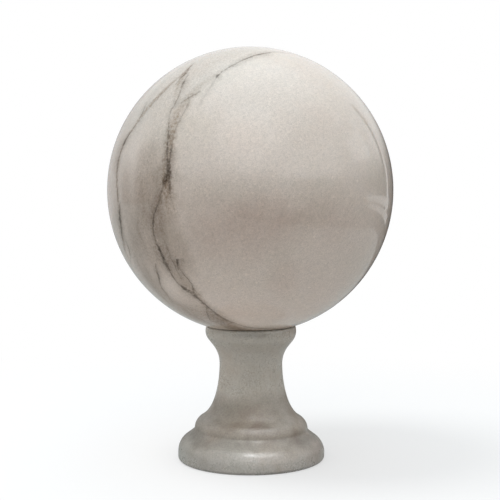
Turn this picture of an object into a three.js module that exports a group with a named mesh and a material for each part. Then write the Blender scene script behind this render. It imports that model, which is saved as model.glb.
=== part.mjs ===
// A polished marble ball resting on a turned stone stand.
// Millimetres, +Z up, origin at the centre of the stand's flat underside.

import * as THREE from "three";

// Ball: a full sphere that bears on the rim of the stand's dished top.
const BALL_RADIUS = 75;

// Foot: a flat underside with a rounded lower edge, then a fat half-round moulding.
const FOOT_RADIUS = 39;
const FOOT_EDGE_RADIUS = 2;
const TORUS_RADIUS = 9.6;
const TORUS_HEIGHT = 4; // of the centre of its section
const TORUS_SWEEP = 55; // degrees from its widest point, before the crease begins

// Bead: the smaller half-round moulding that stands on the foot.
const BEAD_OUTER_RADIUS = 30.1;
const BEAD_RADIUS = 7;
const BEAD_HEIGHT = 16.3; // of the centre of its section
const BEAD_SWEEP = 60; // degrees from its widest point, before the flare begins

// Neck: a long flare up from the bead to the waist, then a short cove out to the rim.
const WAIST_RADIUS = 16.7;
const WAIST_HEIGHT = 51;
const FLARE_LOWER_PULL = 11; // how far the flare is drawn along the bead's tangent
const FLARE_UPPER_PULL = 3; // and straight down from the waist
const COVE_RADIUS = 15.5;
const NECK_SLOPE = 38; // degrees from upright where the cove runs into the rim

// Rim: a rounded lip whose arris is eased where the ball bears on it.
const RIM_RADIUS = 24.1;
const RIM_HEIGHT = 68.4; // of its widest point
const RIM_SECTION_RADIUS = 7.5;
const RIM_RISE = 14; // degrees that its section runs on above its widest point
const SEAT_RADIUS = 22.7; // of the ring that the ball bears on
const SEAT_HEIGHT = 71;
const SEAT_DEPTH = 4.1; // of the dish inside that ring, clear of the ball

// Facets.
const SEGMENTS = 64; // round the axis, shared by both pieces so that they meet on one ring
const BALL_CAP_STEPS = 3; // from the lowest point of the ball to the ring that it bears on
const BALL_LOWER_STEPS = 14; // from there to its equator
const BALL_UPPER_STEPS = 17; // and on to its top

const rad = THREE.MathUtils.degToRad;

const BEARING_ANGLE = Math.asin(SEAT_RADIUS / BALL_RADIUS); // seen from the ball's centre
const BALL_CENTRE = SEAT_HEIGHT + BALL_RADIUS * Math.cos(BEARING_ANGLE);

/** Points on a circular arc in the profile's plane, from one angle to another. */
function arc(centreR, centreZ, radius, from, to, steps) {
  return Array.from({ length: steps + 1 }, (_, i) => {
    const angle = from + ((to - from) * i) / steps;
    return new THREE.Vector2(
      centreR + radius * Math.cos(angle),
      centreZ + radius * Math.sin(angle),
    );
  });
}

/** A profile of (radius, height) points turned about the Z axis; points that repeat are dropped. */
function turned(profile) {
  const points = profile.filter(
    (p, i) => i === 0 || p.distanceTo(profile[i - 1]) > 1e-6,
  );
  return new THREE.LatheGeometry(points, SEGMENTS).rotateX(Math.PI / 2);
}

function ballProfile() {
  const bottom = -Math.PI / 2;
  const ring = bottom + BEARING_ANGLE;
  const points = [
    ...arc(0, 0, BALL_RADIUS, bottom, ring, BALL_CAP_STEPS),
    ...arc(0, 0, BALL_RADIUS, ring, 0, BALL_LOWER_STEPS),
    ...arc(0, 0, BALL_RADIUS, 0, Math.PI / 2, BALL_UPPER_STEPS),
  ];
  points[0].x = 0;
  points[points.length - 1].x = 0;
  return points;
}

function footProfile() {
  const edgeCentre = FOOT_RADIUS - FOOT_EDGE_RADIUS;
  const torusCentre = FOOT_RADIUS - TORUS_RADIUS;
  const torus = arc(
    torusCentre, TORUS_HEIGHT, TORUS_RADIUS, 0, rad(TORUS_SWEEP), 6,
  );
  // The crease leaves the moulding along its tangent and turns up into the bead's wall.
  const start = torus[torus.length - 1];
  const run = (start.x - BEAD_OUTER_RADIUS) / Math.sin(rad(TORUS_SWEEP));
  const corner = new THREE.Vector2(
    BEAD_OUTER_RADIUS,
    start.y + run * Math.cos(rad(TORUS_SWEEP)),
  );
  const end = new THREE.Vector2(BEAD_OUTER_RADIUS, BEAD_HEIGHT);
  const crease = new THREE.QuadraticBezierCurve(start, corner, end);
  return [
    new THREE.Vector2(0, 0),
    ...arc(edgeCentre, FOOT_EDGE_RADIUS, FOOT_EDGE_RADIUS, -Math.PI / 2, 0, 3),
    ...torus,
    ...crease.getPoints(3),
  ];
}

function beadProfile() {
  const centre = BEAD_OUTER_RADIUS - BEAD_RADIUS;
  return arc(centre, BEAD_HEIGHT, BEAD_RADIUS, 0, rad(BEAD_SWEEP), 4);
}

function neckProfile(beadTop) {
  // The flare runs on from the bead without an edge and ends upright at the waist.
  const flare = new THREE.CubicBezierCurve(
    beadTop,
    new THREE.Vector2(
      beadTop.x - FLARE_LOWER_PULL * Math.sin(rad(BEAD_SWEEP)),
      beadTop.y + FLARE_LOWER_PULL * Math.cos(rad(BEAD_SWEEP)),
    ),
    new THREE.Vector2(WAIST_RADIUS, WAIST_HEIGHT - FLARE_UPPER_PULL),
    new THREE.Vector2(WAIST_RADIUS, WAIST_HEIGHT),
  );
  const cove = arc(
    WAIST_RADIUS + COVE_RADIUS, WAIST_HEIGHT, COVE_RADIUS,
    Math.PI, Math.PI - rad(NECK_SLOPE), 4,
  );
  return [...flare.getPoints(10), ...cove];
}

function rimProfile() {
  const lip = arc(
    RIM_RADIUS - RIM_SECTION_RADIUS, RIM_HEIGHT, RIM_SECTION_RADIUS,
    -rad(NECK_SLOPE), rad(RIM_RISE), 5,
  );
  const lipTop = lip[lip.length - 1];
  const arris = new THREE.QuadraticBezierCurve(
    lipTop,
    new THREE.Vector2(lipTop.x - 0.3, SEAT_HEIGHT),
    new THREE.Vector2(SEAT_RADIUS, SEAT_HEIGHT),
  );
  return [...lip, ...arris.getPoints(2)];
}

function seatProfile() {
  // The dish is part of a sphere that is tighter than the ball.
  const dishRadius =
    (SEAT_RADIUS * SEAT_RADIUS + SEAT_DEPTH * SEAT_DEPTH) / (2 * SEAT_DEPTH);
  const dishCentre = SEAT_HEIGHT - SEAT_DEPTH + dishRadius;
  const dish = arc(
    0, dishCentre, dishRadius,
    -Math.acos(SEAT_RADIUS / dishRadius), -Math.PI / 2, 3,
  );
  dish[dish.length - 1].x = 0;
  return dish;
}

function standProfile() {
  const bead = beadProfile();
  return [
    ...footProfile(),
    ...bead,
    ...neckProfile(bead[bead.length - 1]),
    ...rimProfile(),
    ...seatProfile(),
  ];
}

const ballMarble = new THREE.MeshStandardMaterial({
  color: 0xd9d1c7, roughness: 0.12, metalness: 0,
});
const standStone = new THREE.MeshStandardMaterial({
  color: 0x8e8b83, roughness: 0.45, metalness: 0,
});

const ball = new THREE.Mesh(turned(ballProfile()), ballMarble);
ball.name = "ball";
ball.position.z = BALL_CENTRE;

const stand = new THREE.Mesh(turned(standProfile()), standStone);
stand.name = "stand";

const ballOnStand = new THREE.Group();
ballOnStand.add(stand, ball);

export default ballOnStand;
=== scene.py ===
"""A polished, veined marble ball resting on a small turned stone stand."""

from math import acos, cos, pi, radians, sin, sqrt, tau

import bpy
import numpy as np
from mathutils import Matrix, Vector, noise


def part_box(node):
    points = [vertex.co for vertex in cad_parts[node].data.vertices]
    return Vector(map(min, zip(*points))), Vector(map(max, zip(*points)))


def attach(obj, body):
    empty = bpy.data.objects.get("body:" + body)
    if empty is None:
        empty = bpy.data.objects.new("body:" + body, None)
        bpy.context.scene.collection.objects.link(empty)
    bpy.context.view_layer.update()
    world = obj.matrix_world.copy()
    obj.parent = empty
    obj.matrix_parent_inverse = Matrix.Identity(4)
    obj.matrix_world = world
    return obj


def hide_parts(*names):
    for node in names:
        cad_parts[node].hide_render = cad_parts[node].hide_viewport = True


MM = 0.001

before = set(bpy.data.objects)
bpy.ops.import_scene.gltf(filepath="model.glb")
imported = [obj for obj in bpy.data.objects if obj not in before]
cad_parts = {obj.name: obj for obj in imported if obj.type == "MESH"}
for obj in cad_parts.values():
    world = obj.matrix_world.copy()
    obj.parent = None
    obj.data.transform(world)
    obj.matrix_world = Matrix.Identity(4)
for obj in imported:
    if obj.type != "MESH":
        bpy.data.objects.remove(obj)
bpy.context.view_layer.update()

BALL_LOW, BALL_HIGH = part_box("ball")
STAND_LOW, STAND_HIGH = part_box("stand")
BALL_CENTRE = (BALL_LOW + BALL_HIGH) / 2
BALL_RADIUS = (BALL_HIGH.z - BALL_LOW.z) / 2
FOOT_RADIUS = (STAND_HIGH.x - STAND_LOW.x) / 2
SEAT_HEIGHT = STAND_HIGH.z
SEAT_RADIUS = sqrt(BALL_RADIUS**2 - (BALL_CENTRE.z - SEAT_HEIGHT) ** 2)  # where the ball bears


# ---------------------------------------------------------------------------------------
# Meshes
# ---------------------------------------------------------------------------------------

BALL_STEPS = 110  # along each edge of the cube that the ball is blown up from
STAND_SEGMENTS = 240  # round the stand's axis
LAPPING_ERROR = 0.012 * MM  # how far the ball's surface is out of true
TURNING_ERROR = 0.05 * MM  # how far the stand's surface is out of true
LEAN = 0.016  # how steeply the stand's mouldings fall towards the right


def make_object(name, points, faces, material):
    mesh = bpy.data.meshes.new(name)
    mesh.from_pydata([tuple(p) for p in points], [], faces)
    mesh.shade_smooth()
    mesh.materials.append(material)
    obj = bpy.data.objects.new(name, mesh)
    bpy.context.scene.collection.objects.link(obj)
    return obj


def ball_surface(steps=BALL_STEPS):
    """A cube's faces blown up to a sphere of radius 1, so that the mesh is even, with no poles."""
    # Equal angles between the grid lines keep the faces alike in size.
    grid = np.tan(np.linspace(-pi / 4, pi / 4, steps + 1))
    points, faces, found = [], [], {}
    for axis in range(3):
        for side in (-1, 1):
            index = np.empty((steps + 1, steps + 1), int)
            for i, a in enumerate(grid):
                for j, b in enumerate(grid):
                    corner = np.roll([side, a * side, b], axis)
                    key = tuple(np.round(corner, 6))
                    if key not in found:
                        found[key] = len(points)
                        points.append(Vector(corner).normalized())
                    index[i, j] = found[key]
            faces += [
                (index[i, j], index[i + 1, j], index[i + 1, j + 1], index[i, j + 1])
                for i in range(steps)
                for j in range(steps)
            ]
    return points, faces


def lapped(direction):
    """The ball's radius in a direction: hand lapping leaves it a few microns out of true."""
    wave = noise.noise(direction * 4.0) + 0.4 * noise.noise(direction * 9.0)
    return BALL_RADIUS + LAPPING_ERROR * (wave - 0.5)


def make_ball(material):
    directions, faces = ball_surface()
    points = [BALL_CENTRE + d * lapped(d) for d in directions]
    return make_object("marble_ball", points, faces, material)


def arc(centre_r, centre_z, radius, start, end, step=0.6 * MM):
    """Points (radius, height) on an arc of the stand's section, between two angles."""
    count = max(2, round(abs(end - start) * radius / step))
    return [
        (centre_r + radius * cos(a), centre_z + radius * sin(a))
        for a in np.linspace(start, end, count + 1)
    ]


def bezier(*controls, steps=24):
    """Points on a Bezier curve of any degree."""
    curve = []
    for t in np.linspace(0, 1, steps + 1):
        level = np.array(controls, float)
        while len(level) > 1:
            level = level[:-1] * (1 - t) + level[1:] * t
        curve.append(tuple(level[0]))
    return curve


def line(start, end, step=0.8 * MM):
    """Points on a straight stretch of the section."""
    across, up = end[0] - start[0], end[1] - start[1]
    count = max(1, round(sqrt(across**2 + up**2) / step))
    return [(start[0] + across * i / count, start[1] + up * i / count) for i in range(count + 1)]


def stand_section():
    """The stand's turned outline, from the centre of its underside to the centre of its seat."""
    # The radii of the arcs, then how far each reaches from the axis, how high its centre is and
    # the angle at which it ends.
    edge, torus, bead, lip, cove = 2 * MM, 9.6 * MM, 7 * MM, 7.5 * MM, 15.5 * MM
    torus_height, torus_end = 4 * MM, radians(55)
    bead_outer, bead_height, bead_end = 30.1 * MM, 16.3 * MM, radians(60)
    waist, waist_height, neck_slope = 16.7 * MM, 51 * MM, radians(38)
    rim, rim_height, rim_end = 24.1 * MM, 68.4 * MM, radians(14)
    flare_lower_pull, flare_upper_pull = 11 * MM, 3 * MM  # along the tangents of its ends
    arris, seat_depth = 0.3 * MM, 4.1 * MM

    foot = line((0, 0), (FOOT_RADIUS - edge, 0))
    foot += arc(FOOT_RADIUS - edge, edge, edge, -pi / 2, 0)
    foot += arc(FOOT_RADIUS - torus, torus_height, torus, 0, torus_end)
    crease_start = foot[-1]
    run = (crease_start[0] - bead_outer) / sin(torus_end) * cos(torus_end)
    crease = bezier(
        crease_start, (bead_outer, crease_start[1] + run), (bead_outer, bead_height), steps=10
    )

    mouldings = arc(bead_outer - bead, bead_height, bead, 0, bead_end)
    top = mouldings[-1]
    flare = bezier(
        top,
        (top[0] - flare_lower_pull * sin(bead_end), top[1] + flare_lower_pull * cos(bead_end)),
        (waist, waist_height - flare_upper_pull),
        (waist, waist_height),
        steps=48,
    )
    neck = arc(waist + cove, waist_height, cove, pi, pi - neck_slope)
    lip_curve = arc(rim - lip, rim_height, lip, -neck_slope, rim_end)
    neck += line(neck[-1], lip_curve[0])
    lip_top = lip_curve[-1]
    eased = bezier(lip_top, (lip_top[0] - arris, SEAT_HEIGHT), (SEAT_RADIUS, SEAT_HEIGHT), steps=8)

    # The dish is part of a sphere that is tighter than the ball.
    dish_radius = (SEAT_RADIUS**2 + seat_depth**2) / (2 * seat_depth)
    dish_centre = SEAT_HEIGHT - seat_depth + dish_radius
    dish_start = -acos(SEAT_RADIUS / dish_radius)
    dish = arc(0, dish_centre, dish_radius, dish_start, -pi / 2, step=2 * MM)
    section = foot + crease + mouldings + flare + neck + lip_curve + eased + dish
    return [p for i, p in enumerate(section) if i == 0 or p != section[i - 1]]


def hand_turned(point):
    """A point of the stand moved as far as hand finishing leaves it out of true."""
    radius = sqrt(point.x**2 + point.y**2)
    # The mouldings lean a little, but the seat and the flat underside stay true.
    lean = LEAN * np.interp(point.z, [3 * MM, 9 * MM, 64 * MM, 70 * MM], [0, 1, 1, 0])
    wave = noise.noise(point * 90) + 0.5 * noise.noise(point * 260)
    free = np.interp(point.z, [0, 2 * MM, 66 * MM, 70 * MM], [0, 1, 1, 0])
    scale = 1 - TURNING_ERROR * free * (wave + 0.3) / max(radius, 5 * MM)
    return Vector((point.x * scale, point.y * scale, point.z - lean * point.x))


def make_stand(material, segments=STAND_SEGMENTS):
    section = stand_section()
    points, faces = [Vector((0, 0, section[0][1]))], []
    for r, z in section[1:-1]:
        ring = [Vector((r * cos(a), r * sin(a), z)) for a in np.arange(segments) * tau / segments]
        points += [hand_turned(p) for p in ring]
    points.append(Vector((0, 0, section[-1][1])))
    rings, last = len(section) - 2, len(points) - 1
    for k in range(segments):
        n = (k + 1) % segments
        faces.append((0, 1 + n, 1 + k))
        for row in range(rings - 1):
            low, high = 1 + row * segments, 1 + (row + 1) * segments
            faces.append((low + k, low + n, high + n, high + k))
        top = 1 + (rings - 1) * segments
        faces.append((top + k, top + n, last))
    return make_object("turned_stand", points, faces, material)


# ---------------------------------------------------------------------------------------
# Shader graphs
# ---------------------------------------------------------------------------------------


class Value:
    """A number that varies over a surface: a node's output, with arithmetic."""

    def __init__(self, graph, socket):
        self.graph, self.socket = graph, socket

    def __add__(self, other):
        return self.graph.math("ADD", self, other)

    def __sub__(self, other):
        return self.graph.math("SUBTRACT", self, other)

    def __rsub__(self, other):
        return self.graph.math("SUBTRACT", other, self)

    def __mul__(self, other):
        return self.graph.math("MULTIPLY", self, other)

    def __truediv__(self, other):
        return self.graph.math("DIVIDE", self, other)

    __radd__, __rmul__ = __add__, __mul__

    def __abs__(self):
        return self.graph.math("ABSOLUTE", self)

    def towards(self, other, share):
        """This value moved towards another by a share of the way."""
        share = Value(self.graph, getattr(share, "socket", share))
        return self * (1 - share) + share * other


class Graph:
    """A node tree built up by calls that take numbers, tuples, sockets and Values."""

    def __init__(self, owner):
        owner.use_nodes = True
        self.owner = owner
        self.tree = owner.node_tree
        self.position = self.add("ShaderNodeTexCoord").outputs["Object"]

    def node(self, name):
        return self.tree.nodes[name]

    def set(self, socket, value):
        value = getattr(value, "socket", value)
        if isinstance(value, bpy.types.NodeSocket):
            self.tree.links.new(value, socket)
        else:
            socket.default_value = value

    def add(self, kind, inputs=None, **settings):
        node = self.tree.nodes.new(kind)
        for name, value in settings.items():
            setattr(node, name, value)
        for name, value in (inputs or {}).items():
            self.set(node.inputs[name], value)
        return node

    def math(self, operation, a, b=0.0):
        node = self.add("ShaderNodeMath", {0: a, 1: b}, operation=operation)
        return Value(self, node.outputs[0])

    def vector(self, operation, a, b):
        node = self.add("ShaderNodeVectorMath", {0: a, 1: b}, operation=operation)
        return node.outputs["Vector"]

    def dot(self, a, b):
        node = self.add("ShaderNodeVectorMath", {0: a, 1: b}, operation="DOT_PRODUCT")
        return Value(self, node.outputs["Value"])

    def length(self, vector):
        return self.math("SQRT", self.dot(vector, vector))

    def noise(self, size, place=None, detail=2.0, roughness=0.5):
        """Smooth noise about 0, mostly within -0.5 and 0.5, with lumps of the given size."""
        inputs = {
            "Vector": self.position if place is None else place,
            "Scale": 1 / size,
            "Detail": detail,
            "Roughness": roughness,
        }
        return Value(self, self.add("ShaderNodeTexNoise", inputs).outputs["Fac"]) - 0.5

    def warped(self, place, *waves):
        """A place shifted by noise; waves are (size of the lumps, how far they shift)."""
        for size, reach in waves:
            inputs = {"Vector": self.position, "Scale": 1 / size, "Detail": 1.0}
            colour = self.add("ShaderNodeTexNoise", inputs).outputs["Color"]
            shift = self.vector("SUBTRACT", colour, (0.5, 0.5, 0.5))
            shift = self.vector("MULTIPLY", shift, (2 * reach,) * 3)
            place = self.vector("ADD", place, shift)
        return place

    def fade(self, value, low, high):
        """0 up to low, 1 from high on, and smooth between; low may be the greater."""
        inputs = {"Value": value, "From Min": low, "From Max": high}
        node = self.add("ShaderNodeMapRange", inputs, interpolation_type="SMOOTHSTEP")
        return Value(self, node.outputs["Result"])

    def curve(self, value, points, low=0.0, high=1.0):
        """A curve through the given points (x from 0 to 1, y from low to high)."""
        node = self.add("ShaderNodeFloatCurve", {"Value": value})
        line = node.mapping.curves[0]
        places = [(x, (y - low) / (high - low)) for x, y in points]
        while len(line.points) < len(places):
            line.points.new(0.5, 0.5)
        for point, place in zip(line.points, places):
            point.location = place
        node.mapping.update()
        return Value(self, node.outputs["Value"]) * (high - low) + low

    def band(self, value, low, high, soft):
        """1 between low and high, and 0 beyond them, with soft edges."""
        return self.fade(value, low - soft, low) * self.fade(value, high + soft, high)

    def patch(self, place, centre, radii):
        """1 in the middle of an egg-shaped patch, fading to 0 at its edge."""
        offset = self.vector("DIVIDE", self.vector("SUBTRACT", place, centre), radii)
        return self.fade(self.length(offset), 1.0, 0.1)

    def tint(self, colour, amount, factor):
        """Colour times factor, as far as amount says."""
        inputs = {"Factor": amount, "A": colour, "B": (*factor, 1)}
        node = self.add("ShaderNodeMix", data_type="RGBA", blend_type="MULTIPLY")
        sockets = {s.name: s for s in node.inputs if s.enabled}
        for name, value in inputs.items():
            self.set(sockets[name], value)
        return next(s for s in node.outputs if s.enabled)

    def mixed(self, share, first, second):
        """The first shader, and as much of the second as the share says."""
        inputs = {0: share, 1: first.outputs[0], 2: second.outputs[0]}
        return self.add("ShaderNodeMixShader", inputs)

    def scale(self, vector, factor):
        node = self.add("ShaderNodeVectorMath", {0: vector, "Scale": factor}, operation="SCALE")
        return node.outputs["Vector"]

    def surface(self, colour, roughness, relief, bump, body):
        """Finish a material; bump is (strength, height), and body is what is the same all over."""
        shader = self.node("Principled BSDF").inputs
        self.set(shader["Base Color"], colour)
        self.set(shader["Roughness"], roughness)
        for name, value in body.items():
            self.set(shader[name], value)
        inputs = {"Height": relief, "Strength": bump[0], "Distance": bump[1]}
        self.set(shader["Normal"], self.add("ShaderNodeBump", inputs).outputs["Normal"])
        return self.owner


# ---------------------------------------------------------------------------------------
# Marble
# ---------------------------------------------------------------------------------------

MARBLE_COLOUR = (0.745, 0.668, 0.60)
MARBLE_BODY = {
    "IOR": 1.52,
    "Subsurface Weight": 0.25,
    "Subsurface Radius": (1.0, 0.8, 0.65),
    "Subsurface Scale": 2 * MM,
}
MARBLE_BUMP = (0.3, 0.05 * MM)
CRYSTAL_SIZE = 0.95 * MM

# Tints multiply the colour under them.
VEIN_TINT = (0.25, 0.215, 0.185)
STAIN_TINT = (0.60, 0.57, 0.53)  # beside the veins
SMEAR_TINT = (0.56, 0.48, 0.40)
GRIT_TINT = (0.64, 0.59, 0.54)  # inside the clouds
DRIFT_TINT = (0.80, 0.735, 0.705)
WARM_TINT, COOL_TINT = (0.99, 0.972, 0.965), (0.97, 0.978, 0.968)  # of the clean stone
TAUPE, GREY, UMBER = (0.615, 0.572, 0.53), (0.78, 0.80, 0.80), (0.52, 0.48, 0.43)

# Noise bends the bedding: (size of its lumps, how far it shifts a place, in ball radii).
FOLDS = (34 * MM, 0.20), (11 * MM, 0.06)  # of the whole block
VEIN_WAVER = (9 * MM, 0.006), (2.2 * MM, 0.006), (0.9 * MM, 0.0045)
CLOUD_WAVER = (26 * MM, 0.07), (7 * MM, 0.03)
FOLDED = (-4 * MM, 22 * MM)  # from where the folds begin to where they are full, along +Y

# The veins are sheets of colour that cut through the block nearly square to one axis, so a place
# on the ball is given as degrees round that axis from the top, down the left, and millimetres
# along it from the ball's centre, towards the clean side.
BEDDING = Vector((0.46, -0.885, -0.07)).normalized()
TOP = (Vector((0, 0, 1)) - BEDDING * BEDDING.z).normalized()
LEFT = BEDDING.cross(TOP)
SEAM = 250  # degrees, on the far side, where the count starts again at SEAM - 360
REACH = 75  # mm along the axis that a course may use, either way
VEIN_WIDEST, SMEAR_WIDEST = 2, 8  # mm, of a half width in the courses of either kind
STAIN_SPREAD = 7.0  # a vein's stain is this many times as wide as its line

# Each course is (degrees, mm, darkness, half width in mm), in order round the ball.
VEINS = [
    # The main vein, from the far side over the top to a black spot.
    [
        (-110, 20, 0.5, 0.5), (-80, 15, 0.3, 0.4), (-50, 18, 0.5, 0.5), (-20, 21, 0.3, 0.4),
        (0, 22.8, 0.4, 0.6), (6, 25.2, 0.8, 0.9), (11, 26.3, 0.8, 0.7), (16, 28.1, 0.8, 0.7),
        (22, 29.4, 0.7, 0.6), (30, 30.6, 0.5, 0.4), (32.5, 31.7, 1.0, 0.7), (33.5, 32.5, 0.3, 0.4),
        (42, 36, 0.2, 0.6), (52, 39, 0.0, 0.6),
    ],
    # It goes on down the left and under the ball, to meet its start.
    [
        (36, 14, 0.0, 0.5), (39, 16.5, 0.5, 0.8), (42, 19, 0.9, 0.9), (46, 22.3, 0.5, 0.6),
        (50, 25, 0.6, 0.6), (56, 26.2, 0.4, 0.5), (61, 29.6, 0.6, 0.5), (66, 32.6, 0.8, 0.6),
        (72, 35, 0.8, 0.6), (78, 37.3, 1.0, 1.0), (81.5, 37.7, 1.0, 1.6), (85, 36.3, 0.9, 0.7),
        (91, 34.8, 0.7, 0.5), (95, 32.9, 0.8, 0.6), (99, 30.6, 0.9, 0.6), (103, 29.5, 0.8, 0.5),
        (109, 29, 0.8, 0.6), (113, 29.9, 1.0, 1.1), (120, 29.9, 1.0, 1.0), (128, 30, 0.7, 0.6),
        (132, 31.3, 1.0, 1.0), (135, 33.3, 1.0, 1.1), (140, 33.7, 0.7, 0.6), (146, 33.2, 0.8, 0.7),
        (152, 32, 0.8, 1.0), (162, 31.2, 0.5, 0.8), (185, 31, 0.5, 0.7), (215, 24, 0.4, 0.5),
        (250, 20, 0.5, 0.5),
    ],
    # A strand above it that joins it at its darkest place.
    [
        (43, 32.4, 0.0, 0.5), (46, 30.8, 0.0, 0.5), (50, 32.4, 0.3, 0.6), (54, 33.5, 0.35, 0.5),
        (62, 34.2, 0.3, 0.4), (67, 35.5, 0.4, 0.5), (71, 36.9, 0.8, 0.8), (76, 37.5, 0.9, 0.8),
        (80, 38.5, 1.0, 1.0), (84, 39.3, 0.9, 0.8), (90, 40.5, 0.3, 0.5), (93, 41.5, 0.0, 0.4),
    ],
    # A hook that falls from the haze to the main vein.
    [
        (42, 32.4, 0.2, 0.5), (44, 31.7, 0.5, 0.5), (47, 30, 0.45, 0.5), (51, 27.8, 0.3, 0.6),
        (54, 26, 0.0, 0.4),
    ],
    # The feeder that climbs to it on the upper left.
    [
        (29, 6.8, 0.1, 0.4), (32, 8.3, 0.5, 0.6), (36, 11.8, 0.7, 0.7), (40, 13.4, 0.6, 0.5),
        (43, 14.4, 0.3, 0.4), (46, 15.5, 0.0, 0.4),
    ],
    # The twin that starts at a black spot low on the left, and its thin neighbour.
    [
        (117, 37.2, 0.4, 0.6), (118.3, 36.8, 1.0, 0.9), (121, 35.9, 0.9, 0.7),
        (124, 36.4, 0.7, 0.4), (131, 36.7, 0.7, 0.4), (133, 35.4, 0.9, 0.7), (135, 33.8, 0.9, 0.8),
        (136, 33.5, 0.0, 0.4),
    ],
    [
        (107, 34.4, 0.0, 0.3), (114, 34.2, 0.4, 0.3), (121, 34.3, 0.5, 0.3), (128, 33.5, 0.0, 0.3),
    ],
    # The left vein, in three lengths that pass each other, then its branch and its far end.
    [
        (38, 11, 0.0, 0.6), (44, 11.2, 0.2, 0.8), (50, 10.6, 0.3, 0.8), (54, 9.4, 0.3, 0.8),
        (59, 7.8, 0.1, 0.5), (62, 6.2, 0.4, 0.8), (63, 5.0, 0.0, 0.6),
    ],
    [
        (53, 1.8, 0.0, 0.5), (56, 3.6, 0.5, 0.7), (58.5, 5, 0.7, 0.7), (62, 5.3, 0.3, 0.5),
        (65, 3.8, 0.5, 0.6), (68, 1.7, 0.9, 0.8), (71, -0.4, 1.0, 0.9), (75, -1.8, 0.7, 0.8),
        (79, -2.2, 0.8, 0.8), (84, -0.8, 0.5, 0.6), (88, 0.4, 0.6, 0.6), (91, 1.8, 0.6, 0.6),
        (94, 1.8, 0.0, 0.5),
    ],
    [
        (93, 4.6, 0.0, 0.5), (96, 3.8, 0.7, 0.6), (100, 2.6, 0.9, 0.8), (104, 1.2, 0.8, 0.8),
        (108, -0.8, 0.6, 0.7), (112, -3.2, 0.4, 0.6), (120, -8, 0.2, 0.5), (140, -6, 0.3, 0.5),
        (175, 2, 0.4, 0.5), (210, -4, 0.3, 0.5), (250, -8, 0.4, 0.5),
    ],
    [
        (106, 3, 0.0, 0.4), (110, 3.2, 0.4, 0.5), (113.5, 2.8, 0.6, 0.5), (116.5, 0, 0.4, 0.5),
        (120, -5, 0.2, 0.5), (124, -8, 0.0, 0.5),
    ],
    [
        (-110, -8, 0.4, 0.5), (-70, -12, 0.5, 0.6), (-35, -7, 0.3, 0.5), (5, -4, 0.3, 0.5),
        (30, 0, 0.2, 0.4), (52, 2, 0.0, 0.4),
    ],
    # Short cracks between the two veins, low on the left.
    [
        (118, 23.2, 0.0, 0.4), (120, 21.8, 0.7, 0.5), (123, 20.6, 0.9, 0.7), (126, 18.3, 0.8, 0.6),
        (129, 16.4, 0.5, 0.5), (134, 15.2, 0.4, 0.5), (141, 13, 0.0, 0.5),
    ],
    [
        (142, 34.4, 0.0, 0.4), (145, 32, 0.5, 0.6), (147.5, 28.6, 0.6, 0.6), (151, 25.2, 0.5, 0.5),
        (156, 19, 0.0, 0.4),
    ],
    # A third sheet of veins, all on the far side.
    [
        (-110, -36, 0.4, 0.5), (-60, -42, 0.7, 0.9), (-30, -30, 0.4, 0.6), (4, -44, 0.0, 0.5),
    ],
    [
        (40, -36, 0.0, 0.5), (75, -50, 0.5, 0.8), (110, -34, 0.3, 0.6), (140, -48, 0.8, 0.9),
        (175, -38, 0.4, 0.6), (215, -30, 0.7, 0.7), (250, -36, 0.4, 0.5),
    ],
    [
        (-75, -41, 0.0, 0.4), (-62, -33, 0.6, 0.6), (-50, -24, 0.5, 0.5), (-36, -8, 0.0, 0.4),
    ],
    [
        (196, 27, 0.0, 0.4), (206, 16, 0.5, 0.5), (217, 3, 0.6, 0.6), (228, -6, 0.0, 0.4),
    ],
]

# Smears are wide, crumbly brown stains that run beside the veins, given in the same way.
SMEARS = [
    # Beside the main vein, from the black spot to the knot, then from there to the underside.
    [
        (26, 30, 0.0, 1), (34, 30, 0.3, 2.4), (42, 30, 0.4, 2.6), (52, 30.5, 0.55, 3.4),
        (60, 32.0, 0.75, 3.8), (68, 34.5, 0.8, 3.6), (76, 36.5, 0.8, 3.0), (84, 38, 0.75, 2.4),
        (92, 39, 0.4, 1.8), (98, 39, 0.0, 1.2),
    ],
    [
        (82, 36, 0.0, 2.0), (88, 39, 0.5, 4.4), (95, 39, 0.5, 6.0), (104, 36, 0.25, 6.4),
        (114, 35, 0.2, 6.0), (124, 34, 0.3, 5.0), (134, 34.5, 0.5, 3.0), (144, 33, 0.5, 2.4),
        (152, 28, 0.9, 4.4), (162, 26, 1.0, 5.6), (176, 23, 0.8, 6.0), (200, 20, 0.0, 5.0),
    ],
    # Along the left vein, and along the feeder.
    [
        (34, 10, 0.0, 1), (44, 10.6, 0.7, 2.0), (54, 8, 0.8, 2.2), (62, 5, 0.75, 2.0),
        (71, -0.4, 0.8, 1.6), (80, -2, 0.8, 1.8), (90, 1.2, 0.7, 1.6), (100, 2.6, 0.8, 2.0),
        (110, -1, 0.6, 2.0), (124, -7, 0.0, 2.0),
    ],
    [
        (31, 7, 0.0, 1), (35, 10.5, 0.8, 2.0), (40, 14, 0.7, 2.0), (46, 19, 0.4, 1.6),
        (52, 25, 0.0, 1),
    ],
]

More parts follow.
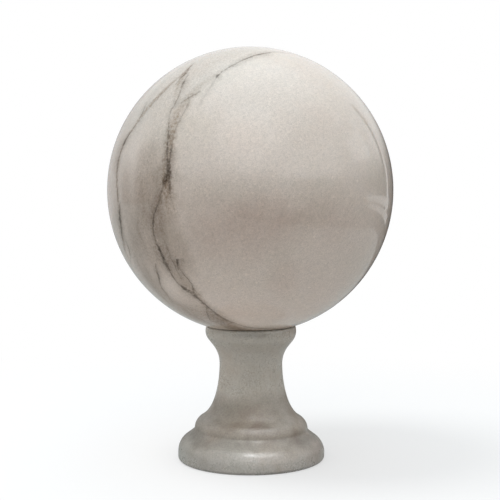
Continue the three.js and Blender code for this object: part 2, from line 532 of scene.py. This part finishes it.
# Clouds are soft stains: (degrees, mm, half length in degrees, half width in mm, amount, tint).
CLOUDS = [
    (32, 12, 40, 26, 0.60, GREY),
    (58, 1, 16, 10, 0.45, GREY),
    (60, 29, 22, 9, 0.25, GREY),
    (80, 34, 12, 5, 0.45, TAUPE),
    (84, 25, 22, 10, 0.62, TAUPE),
    (97, 33, 13, 7, 0.80, TAUPE),
    (106, 23, 22, 11, 0.62, TAUPE),
    (112, 39, 20, 7, 0.45, TAUPE),
    (120, 33, 22, 5, 0.50, TAUPE),
    (120, 9, 20, 9, 0.55, TAUPE),
    (140, 13, 22, 11, 0.75, TAUPE),
    (152, 23, 20, 13, 0.88, TAUPE),
    (180, 21, 26, 15, 0.90, UMBER),
    (77, -4, 9, 6, 0.55, TAUPE),
    (103, 0, 12, 5, 0.40, TAUPE),
    (112, 6, 40, 20, 0.45, GREY),
    (102, 13, 14, 9, 0.35, TAUPE),
    (128, 3, 14, 9, 0.35, GREY),
    (214, 12, 26, 18, 0.55, TAUPE),
    (-70, 6, 34, 18, 0.55, GREY),
    (-25, 8, 20, 14, 0.45, TAUPE),
    (-45, -36, 40, 12, 0.55, GREY),
    (150, -42, 45, 12, 0.55, GREY),
]

# Drifts are faint, pinkish brown patches that darken the stone, most on the front just below the
# middle: (centre from the ball's centre and radii, both in mm, amount).
DRIFTS = [
    ((0, -74, -6), (15, 40, 9), 0.22),
    ((12, -73, -10), (20, 40, 9), 0.25),
    ((-12, -71, -17), (42, 40, 26), 0.76),
    ((24, -68, -14), (44, 40, 20), 0.58),
    ((14, -66, -42), (9, 30, 20), 0.30),
    ((60, 36, 20), (30, 40, 14), 0.30),
    ((16, 66, -24), (34, 40, 18), 0.35),
]


class Bedding:
    """Where a point of the ball lies in the marble's bedding."""

    def __init__(self, graph, place):
        self.graph = graph
        self.along = graph.dot(place, BEDDING) * REACH
        # atan2 turns over halfway round from its zero, which is set to fall on SEAM.
        zero = radians(SEAM - 180)
        start = TOP * cos(zero) + LEFT * sin(zero)
        side = LEFT * cos(zero) - TOP * sin(zero)
        angle = graph.math("ARCTAN2", graph.dot(place, side), graph.dot(place, start))
        self.around = angle * (180 / pi) + (SEAM - 180)

    def beside(self, course, widest):
        """How many half widths off a course this is, how strong that is, and where along it."""
        graph = self.graph
        first, last = course[0][0], course[-1][0]
        share = (self.around - first) / (last - first)
        spots = [((degrees - first) / (last - first), *rest) for degrees, *rest in course]
        middle = graph.curve(share, [(s[0], s[1]) for s in spots], -REACH, REACH)
        amount = graph.curve(share, [(s[0], s[2]) for s in spots])
        width = graph.curve(share, [(s[0], s[3]) for s in spots], 0, widest)
        return abs(self.along - middle) / width, amount, share

    def vein(self, course, ragged):
        """One vein here: how dark its line is, from 0 to 1, and the soft stain beside it."""
        graph = self.graph
        spread, dark, share = self.beside(course, VEIN_WIDEST)
        present = dark * graph.math("LESS_THAN", abs(share - 0.5), 0.5)
        # The line swells and shrinks every few millimetres.
        line = graph.fade(spread * (0.9 + ragged * 2.2), 1.3, 0.1) * present
        stain = graph.fade(spread, STAIN_SPREAD, 0.0) * present
        return line, stain

    def veins(self, courses, ragged):
        """The darkest line and the darkest stain of all the courses."""
        line, stain = self.vein(courses[0], ragged)
        for course in courses[1:]:
            next_line, next_stain = self.vein(course, ragged)
            line = self.graph.math("MAXIMUM", line, next_line)
            stain = self.graph.math("MAXIMUM", stain, next_stain)
        return line, stain

    def smear(self, course, ragged):
        """A wide stain here, solid in its middle and ragged at its edges."""
        spread, amount, _ = self.beside(course, SMEAR_WIDEST)
        return self.graph.fade(spread + ragged * 1.1, 1.3, 0.0) * amount

    def cloud(self, degrees, mm, length, width):
        """A soft egg-shaped stain here, from 0 to 1."""
        graph = self.graph
        round_part = (self.around - degrees) / length
        along_part = (self.along - mm) / width
        spread = graph.math("SQRT", round_part * round_part + along_part * along_part)
        return graph.fade(spread, 1.15, 0.35)


def layered(g, depth):
    """The object's coordinates, drawn out so that noise in them forms thin beds."""
    shift = g.dot(g.position, BEDDING) * depth
    return g.vector("ADD", g.position, g.scale(BEDDING, shift))


def folded(g):
    """Where a point lies in the folded block, in ball radii from the ball's centre."""
    place = g.scale(g.vector("SUBTRACT", g.position, BALL_CENTRE), 1 / BALL_RADIUS)
    shift = g.vector("SUBTRACT", g.warped(place, *FOLDS), place)
    share = g.fade(g.dot(g.position, (0, 1, 0)), *FOLDED)
    return g.vector("ADD", place, g.scale(shift, share))


def clouded(g, bedding, mottle):
    """The stone's colour with its clouds, and how much soil they hold, from 0 to 1."""
    colour, soil = (*MARBLE_COLOUR, 1), 0.0
    beds = g.noise(22 * MM, layered(g, 4), detail=4, roughness=0.6)
    for degrees, mm, length, width, amount, tint in CLOUDS:
        cloud = bedding.cloud(degrees, mm, length, width) * amount
        colour = g.tint(colour, cloud * (0.92 + beds * 0.9 + mottle * 0.5), tint)
        soil = g.math("MAXIMUM", cloud, soil)
    # Dark grit lies in them.
    grit = g.fade(g.noise(0.9 * MM, detail=2, roughness=0.8), 0.0, 0.16)
    return g.tint(colour, grit * soil, GRIT_TINT), soil


def drifted(g, colour, mottle):
    """The colour with broad, faint warm and cool drifts, and pinkish brown patches that darken it,
    most on the front just below the middle.
    """
    drift = g.noise(38 * MM, detail=3)
    colour = g.tint(colour, g.fade(drift, 0.0, 0.22), WARM_TINT)
    colour = g.tint(colour, g.fade(drift, 0.0, -0.22), COOL_TINT)
    place = g.warped(g.position, (30 * MM, 8 * MM), (8 * MM, 2 * MM))
    for centre, radii, amount in DRIFTS:
        patch = g.patch(place, BALL_CENTRE + Vector(centre) * MM, Vector(radii) * MM)
        colour = g.tint(colour, patch * (0.9 + mottle) * amount, DRIFT_TINT)
    return colour


def crystalline(g, colour, soil):
    """The colour with crystals that each take the light a little differently, and their shade."""
    crystal = g.add("ShaderNodeTexVoronoi", {"Vector": g.position, "Scale": 1 / CRYSTAL_SIZE})
    shade = g.dot(crystal.outputs["Color"], (1 / 3, 1 / 3, 1 / 3))
    glint = g.fade(g.dot(crystal.outputs["Color"], (1, 0, 0)), 0.993, 0.998)
    fine = g.noise(0.45 * MM, detail=1) * (soil * 0.45 + 0.48)
    return g.scale(colour, 0.905 + shade * 0.19 + fine + glint * 0.10), shade


def veined(g, colour, bedding):
    """The colour with its smears and veins, and how dark the veins' lines are, from 0 to 1."""
    ragged = g.noise(2.8 * MM, detail=2)
    crumbs = g.noise(1.3 * MM, detail=3, roughness=0.8)
    crackle = g.fade(abs(g.noise(4.5 * MM, layered(g, 1.5), detail=3)), 0.03, 0.0)
    broken = g.fade(g.noise(3.5 * MM, detail=3, roughness=0.7), -0.2, 0.1)
    for course in SMEARS:
        smear = bedding.smear(course, ragged) * (0.75 + crumbs * 3.2 + crackle * 0.3)
        colour = g.tint(colour, smear, SMEAR_TINT)
    line, stain = bedding.veins(VEINS, ragged)
    line = line * (0.3 + broken * 0.7)
    colour = g.tint(colour, stain * (0.55 + crumbs * 2.6 + crackle * 0.35), STAIN_TINT)
    return g.tint(colour, line, VEIN_TINT), line


def marble():
    g = Graph(bpy.data.materials.new("polished_marble"))
    place = folded(g)
    mottle = g.noise(5 * MM, detail=4, roughness=0.7)
    colour, soil = clouded(g, Bedding(g, g.warped(place, *CLOUD_WAVER)), mottle)
    colour = drifted(g, colour, mottle)
    colour, shade = crystalline(g, colour, soil)
    colour, line = veined(g, colour, Bedding(g, g.warped(place, *VEIN_WAVER)))
    # The polish is duller on the veins, which lie a trace below the crystals.
    roughness = 0.045 + line * 0.15 + abs(g.noise(20 * MM)) * 0.03
    return g.surface(colour, roughness, shade * 0.03 - line, MARBLE_BUMP, MARBLE_BODY)


# ---------------------------------------------------------------------------------------
# Stand's stone
# ---------------------------------------------------------------------------------------

STONE_COLOUR = (0.288, 0.271, 0.240)
STONE_BODY = {
    "IOR": 1.5,
    "Subsurface Weight": 0.2,
    "Subsurface Radius": (1.0, 0.85, 0.7),
    "Subsurface Scale": 2 * MM,
}
STONE_BUMP = (0.9, 0.10 * MM)

# Tints multiply the colour under them.
BROWN_CLOUD, GREY_CLOUD, MOTTLE_TINT = (0.98, 0.91, 0.87), (0.93, 0.95, 0.94), (0.88, 0.86, 0.83)
# The tints of the flare, the foot and the crease are painted shade.
FLARE_SHADE_TINT, FOOT_SHADE_TINT, CREASE_SHADE_TINT = (0.59, 0.57, 0.55), (0.735, 0.75, 0.775), (0.765, 0.79, 0.805)

# Heights on the stand.
# Painted shade under the ball: a darker band over the bead and the flare.
FLARE_SHADE_LOW, FLARE_SHADE_HIGH, FLARE_SHADE_FADE = 14 * MM, 32 * MM, 9 * MM  # over the bead and the flare
CREASE_HEIGHT = 12.5 * MM  # between the bead and the foot
# Painted shade darkens the foot below these heights.
FOOT_SHADE_TOP = (12 * MM, 7 * MM)  # the foot's tint begins at the first and is full at the second

# Stains and painted shade: (centre in mm, radii in mm, tint).
STAINS_AND_SHADE = [
    # A brown stain, spread wide across the front so that it is also painted shade under the ball.
    ((-4, -22, 27), (24, 20, 20), (0.85, 0.79, 0.74)),  # low on the front of the neck
    # Painted shade in the crease and on both sides of the foot.
    ((-27, -20, 13), (12, 12, 4), (0.90, 0.88, 0.86)),  # in the crease on the left
    ((26, -20, 15), (15, 15, 8), (0.76, 0.75, 0.75)),  # and on the right
    ((35, -14, 6), (18, 28, 12), (0.84, 0.84, 0.85)),  # on the right of the foot
    ((-26, -30, 3), (16, 14, 8), (0.90, 0.90, 0.90)),  # and on its left
    ((30, 22, 20), (20, 16, 12), (0.86, 0.82, 0.78)),  # behind, on the right of the bead
    # Painted shade on the front of the bead under the ball, then a darker line up the middle of
    # the neck.
    ((5, -27, 20), (15, 14, 7), (0.88, 0.88, 0.90)),  # on the front of the bead
    ((0, -17, 50), (10, 9, 16), (0.92, 0.92, 0.92)),  # up the middle of the neck
    # Painted shadow of the ball on the top of the rim.
    ((0, -24, 70), (16, 8, 3), (0.80, 0.80, 0.81)),  # and under the ball
]


def stone():
    g = Graph(bpy.data.materials.new("honed_stone"))
    place = g.warped(g.position, (30 * MM, 0.006), (9 * MM, 0.002))
    clouds = g.noise(28 * MM, place, detail=3)
    mottle = g.noise(7 * MM, place, detail=4, roughness=0.6)
    fine = g.noise(0.8 * MM, detail=2)

    colour = (*STONE_COLOUR, 1)
    colour = g.tint(colour, g.fade(clouds, -0.02, 0.22), BROWN_CLOUD)
    colour = g.tint(colour, g.fade(clouds, 0.0, -0.25), GREY_CLOUD)
    colour = g.tint(colour, g.fade(mottle, 0.02, 0.3), MOTTLE_TINT)
    # Stains, and patches of painted shade and shadow on the stand.
    for centre, radii, tint in STAINS_AND_SHADE:
        stain = g.patch(place, Vector(centre) * MM, Vector(radii) * MM) * (1.0 + mottle * 1.5)
        colour = g.tint(colour, stain, tint)
    colour = g.scale(colour, 1.0 + fine * 0.75)

    # Painted shade darkens the flare and the bead under the ball, the foot, and the crease between
    # the bead and the foot.
    height = g.dot(place, (0, 0, 1))
    flare_shade = g.band(height, FLARE_SHADE_LOW, FLARE_SHADE_HIGH, FLARE_SHADE_FADE) * (0.9 + mottle)
    # Painted shade in the crease between the bead and the foot.
    crease = g.fade(abs(height - CREASE_HEIGHT), 5 * MM, 0.5 * MM) * (0.75 + mottle)
    colour = g.tint(colour, flare_shade, FLARE_SHADE_TINT)
    # Painted shade on the foot.
    colour = g.tint(colour, g.fade(height, *FOOT_SHADE_TOP), FOOT_SHADE_TINT)
    colour = g.tint(colour, crease, CREASE_SHADE_TINT)

    # The bands of painted shade on the flare and in the crease are also given a duller finish.
    roughness = 0.29 + mottle * 0.25 + fine * 0.08 + flare_shade * 0.16 + crease * 0.10
    relief = g.noise(1.0 * MM, detail=1) + g.noise(6 * MM)
    return g.surface(colour, roughness, relief, STONE_BUMP, STONE_BODY)


# ---------------------------------------------------------------------------------------
# Studio
# ---------------------------------------------------------------------------------------

# The table: its own colour, and the light that it sends back up from round the object.
TABLE_CENTRE, TABLE_RADIUS = Vector((-0.45, 0.38, 0)), 0.93
TABLE_COLOUR, TABLE_BOUNCE = (0.60, 0.60, 0.60), (0.60, 0.565, 0.545)
PALE_CENTRE, PALE_REACH = Vector((0, 0.16, 0)), (0.38, 0.27)  # a fade, in metres from the centre
BEYOND_PALE = (0.1, 0.1, 0.1)  # a tint

# The camera sees it lifted towards white, and pure white away from the object.
TABLE_LIFT, LIFT_REACH = 0.55, (0.15, 0.40)

# The ball's polish mirrors it as an even, dim disc, which on the right ends in the dark.
TABLE_MIRRORED = (0.42, 0.46, 0.46)
MIRRORED_CENTRE, MIRRORED_REACH = Vector((0.02, 0.10, 0)), (0.435, 0.455)
MIRRORED_BACK, MIRRORED_RIGHT = (0.31, 0.35), (0.0, 0.12)  # fades along +Y and +X
BEYOND_MIRRORED = (0.15, 0.15, 0.15)  # a tint

# Round softboxes that point at the stand: (place, size, power, whether the polish mirrors it).
TABLE_LAMP = (Vector((-0.43, -0.10, 1.12)), 0.5, 8.0, True)
STAND_LAMPS = {
    "stand_left": (Vector((-0.98, -0.57, 0.05)), 0.5, 9.2, False),
    "stand_right": (Vector((0.98, -0.57, 0.05)), 0.5, 6.0, False),
    "stand_spot": (Vector((0.05, -0.46, 1.05)), 0.40, 10.2, True),
    "stand_glint": (Vector((0.50, -0.45, 0.95)), 0.20, 3.0, True),
}

# The broad soft light: heights are sines of the angle above the horizon.
SKY_COLOUR, ZENITH_TINT = (1.0, 0.99, 0.98), (0.84, 1.02, 1.12)
SKY_STRENGTH, ZENITH_STRENGTH = 0.92, 0.72
HORIZON, ZENITH = (0.05, 0.30), (0.7, 1.0)
FRONT_GLOW, FRONT_GLOW_STRENGTH = Vector((0, -0.74, 0.67)), 1.4
FRONT_GLOW_FADE = (0.82, 1.0)  # cosines of the angle from its middle

# Cards that only the polish mirrors: (degrees to the right of straight behind, from and to,
# height from and to, softness in degrees, brightness).
CARDS = [
    (110, 150, 0.24, 0.40, 18, 1.6),  # a softbox in front, on the right
    (-55, -15, -0.15, 0.30, 6, 0.6),  # a screen behind, on the left
    (66, 88, 0.26, 0.46, 2, 1.5),  # a window on the right
    (-8, 25, -0.40, 0.075, 2, 0.0),  # the dark room behind
    (48, 61, -0.038, 0.10, 3, 0.0),
    (38.5, 41.6, -0.10, 0.50, 0.6, 0.85),  # the lit jamb and dark gap of a door
    (42.4, 46.0, -0.03, 0.50, 0.6, 0.0),
    (36, 76, -0.082, -0.038, 1, 0.72),  # two shelves
    (33, 74, -0.137, -0.102, 1, 0.62),
]
CARD_HEIGHT_SOFTNESS = 1 / 120  # of height to a degree of softness

# The camera, fitted to the outlines of the ball and the stand.
CAMERA_PLACE = Vector((0, -0.587, 0.1428))
CAMERA_PITCH, CAMERA_ROLL, CAMERA_YAW = radians(90 - 3.08), radians(-0.226), radians(0.026)
CAMERA_LENS, CAMERA_SENSOR = 79.9, 36  # mm


def table_surface(g):
    """How the table looks to the camera, to the polish and to everything else."""
    away = g.length(g.vector("SUBTRACT", g.position, PALE_CENTRE))
    bounce = g.tint((*TABLE_BOUNCE, 1), 1.0 - g.fade(away, *PALE_REACH), BEYOND_PALE)
    unseen = g.add("ShaderNodeBsdfDiffuse", {"Color": bounce})

    away = g.length(g.vector("SUBTRACT", g.position, MIRRORED_CENTRE))
    behind = g.fade(g.dot(g.position, (0, 1, 0)), *MIRRORED_BACK)
    right = g.fade(g.dot(g.position, (1, 0, 0)), *MIRRORED_RIGHT)
    beyond = g.math("MAXIMUM", g.fade(away, *MIRRORED_REACH), behind) * right
    mirrored = g.tint((*TABLE_MIRRORED, 1), beyond, BEYOND_MIRRORED)
    dim = g.add("ShaderNodeEmission", {"Color": mirrored})

    lift = TABLE_LIFT + g.fade(g.length(g.position), *LIFT_REACH) * (1 - TABLE_LIFT)
    matt = g.add("ShaderNodeBsdfDiffuse", {"Color": (*TABLE_COLOUR, 1)})
    white = g.add("ShaderNodeEmission", {"Color": (1, 1, 1, 1)})
    shown = g.mixed(lift, matt, white)

    path = g.add("ShaderNodeLightPath").outputs
    return g.mixed(path["Is Camera Ray"], g.mixed(path["Is Glossy Ray"], unseen, dim), shown)


def make_table():
    """A round, pale table top that melts into the white backdrop."""
    ring = [
        TABLE_CENTRE + Vector((TABLE_RADIUS * cos(a), TABLE_RADIUS * sin(a), 0))
        for a in np.linspace(0, tau, 181)[:-1]
    ]
    g = Graph(bpy.data.materials.new("pale_table"))
    g.set(g.node("Material Output").inputs["Surface"], table_surface(g).outputs[0])
    table = make_object("table", ring, [tuple(range(len(ring)))], g.owner)
    return table


def make_lamp(name, place, size, power, mirrored, lit):
    """A round softbox aimed at the stand, flagged so that it lights one object alone."""
    lamp = bpy.data.lights.new(name, "AREA")
    lamp.shape = "DISK"
    lamp.size = size
    lamp.energy = power
    box = bpy.data.objects.new(name, lamp)
    box.location = place
    box.rotation_euler = (-place).to_track_quat("-Z", "Y").to_euler()
    bpy.context.scene.collection.objects.link(box)
    receivers = bpy.data.collections.new(name)
    receivers.objects.link(lit)
    box.light_linking.receiver_collection = receivers
    box.visible_glossy = mirrored


def make_world():
    """White for the camera, and for everything else a broad soft light above a dark horizon."""
    world = bpy.data.worlds.new("studio")
    bpy.context.scene.world = world
    g = Graph(world)
    direction = g.add("ShaderNodeTexCoord").outputs["Generated"]
    height = g.dot(direction, (0, 0, 1))
    zenith = g.fade(height, *ZENITH)
    glow = g.fade(g.dot(direction, FRONT_GLOW), *FRONT_GLOW_FADE) * FRONT_GLOW_STRENGTH
    strength = g.fade(height, *HORIZON) * (SKY_STRENGTH + zenith * ZENITH_STRENGTH + glow)

    # What the polished ball mirrors: the light and dark things that stand round a studio.
    azimuth = g.math("ARCTAN2", g.dot(direction, (1, 0, 0)), g.dot(direction, (0, 1, 0)))
    mirrored = strength
    for first, last, low, high, soft, brightness in CARDS:
        across = g.band(azimuth * (180 / pi), first, last, soft)
        card = across * g.band(height, low, high, soft * CARD_HEIGHT_SOFTNESS)
        mirrored = mirrored.towards(brightness, card)

    path = g.add("ShaderNodeLightPath").outputs
    colour = g.tint((*SKY_COLOUR, 1), zenith, ZENITH_TINT)
    light = g.add("ShaderNodeBackground", {"Color": colour})
    g.set(light.inputs["Strength"], strength.towards(mirrored, path["Is Glossy Ray"]))
    white = g.add("ShaderNodeBackground", {"Color": (1, 1, 1, 1)})
    shown = g.mixed(path["Is Camera Ray"], light, white)
    g.set(g.node("World Output").inputs["Surface"], shown.outputs[0])


def make_camera():
    data = bpy.data.cameras.new("camera")
    data.sensor_width = CAMERA_SENSOR
    data.lens = CAMERA_LENS
    camera = bpy.data.objects.new("camera", data)
    turn = Matrix.Rotation(CAMERA_YAW, 4, "Z") @ Matrix.Rotation(CAMERA_PITCH, 4, "X")
    turn = turn @ Matrix.Rotation(CAMERA_ROLL, 4, "Z")
    camera.matrix_world = Matrix.Translation(CAMERA_PLACE) @ turn
    bpy.context.scene.collection.objects.link(camera)
    bpy.context.scene.camera = camera


def main():
    ball = make_ball(marble())
    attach(ball, "root")
    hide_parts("ball")

    stand = make_stand(stone())
    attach(stand, "root")
    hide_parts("stand")

    make_lamp("table_lamp", *TABLE_LAMP, make_table())
    for name, settings in STAND_LAMPS.items():
        make_lamp(name, *settings, stand)
    make_world()
    make_camera()
    bpy.context.scene.view_settings.view_transform = "Standard"


main()
